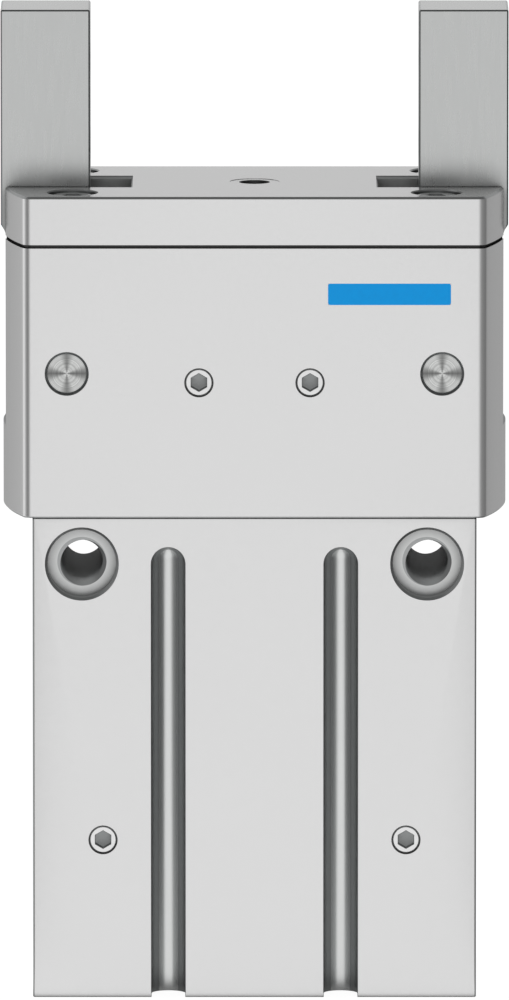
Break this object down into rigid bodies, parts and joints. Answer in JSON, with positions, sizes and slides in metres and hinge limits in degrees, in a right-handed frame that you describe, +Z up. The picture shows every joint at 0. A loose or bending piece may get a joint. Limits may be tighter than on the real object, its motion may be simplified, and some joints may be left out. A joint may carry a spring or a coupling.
{
  "type": "pneumatic gripper",
  "caption": "Pneumatic radial gripper: a long cylinder body with sensor grooves under a wider head, whose toothed fingers swing outwards by a quarter turn.",
  "frame": {"origin": "centre of the flat base, where the end cap closes the cylinder", "axes": "+Z up along the piston rod towards the fingers, +Y from the front face with the sleeve recesses to the back, +X to the right as seen from the front"},
  "size_m": [0.0824, 0.04, 0.1601],
  "materials": {
    "anodised_aluminium": "clear hard anodised, satin",
    "bare_aluminium": "turned",
    "nickel_steel": "nickel plated, satin",
    "tool_steel": "hardened and ground",
    "ground_steel": "ground",
    "turned_pin": "turned end faces, ground sides",
    "plated_screw": "zinc plated",
    "plated_plug": "zinc plated, bright",
    "spring_steel": "phosphated",
    "bronze": "sintered, oiled",
    "black_rubber": "matt",
    "green_seal": "smooth polyurethane",
    "guide_plastic": "filled guide tape",
    "bonded_magnet": "plastic-bonded ferrite",
    "blue_inlay": "printed, smooth"
  },
  "bodies": {
    "housing": {"housing": "anodised_aluminium", "cover_plate": "anodised_aluminium", "cover_screws": "plated_screw", "cover_dowel_pins": "ground_steel", "left_pivot_pin": "turned_pin", "right_pivot_pin": "turned_pin", "left_thrust_washers": "bronze", "right_thrust_washers": "bronze", "purge_plugs": "plated_plug", "port_plugs": "plated_plug", "channel_plug": "bronze", "marking_bar": "blue_inlay", "end_cap": "bare_aluminium", "end_cap_o_ring": "black_rubber", "retaining_ring": "spring_steel", "lower_bumper": "black_rubber", "upper_bumper": "black_rubber", "rod_guide_bush": "bronze", "rod_seal": "green_seal", "seal_retainer": "bare_aluminium"},
    "piston_rod": {"piston_lower_half": "bare_aluminium", "piston_upper_half": "bare_aluminium", "piston_magnet": "bonded_magnet", "piston_seals": "green_seal", "piston_guide_ring": "guide_plastic", "piston_nut": "plated_screw", "piston_rod": "ground_steel", "crosshead": "tool_steel", "crosshead_screw": "plated_screw"},
    "left_finger": {"left_finger": "nickel_steel", "left_finger_bush": "bronze"},
    "right_finger": {"right_finger": "nickel_steel", "right_finger_bush": "bronze"}
  },
  "joints": [
    {"name": "rod_slide", "type": "slide", "parent": "housing", "child": "piston_rod", "axis": [0, 0, 1], "range_m": [0, 0.01335]},
    {"name": "left_finger_swing", "type": "hinge", "parent": "housing", "child": "left_finger", "pos_m": [-0.0304, 0, 0.10235], "axis": [0, -1, 0], "range_deg": [0, 90]},
    {"name": "right_finger_swing", "type": "hinge", "parent": "housing", "child": "right_finger", "pos_m": [0.0304, 0, 0.10235], "axis": [0, 1, 0], "range_deg": [0, 90]}
  ],
  "couplings": [
    {"joint": "left_finger_swing", "follows": "rod_slide", "rad_per_m": 117.65},
    {"joint": "right_finger_swing", "follows": "rod_slide", "rad_per_m": 117.65}
  ]
}
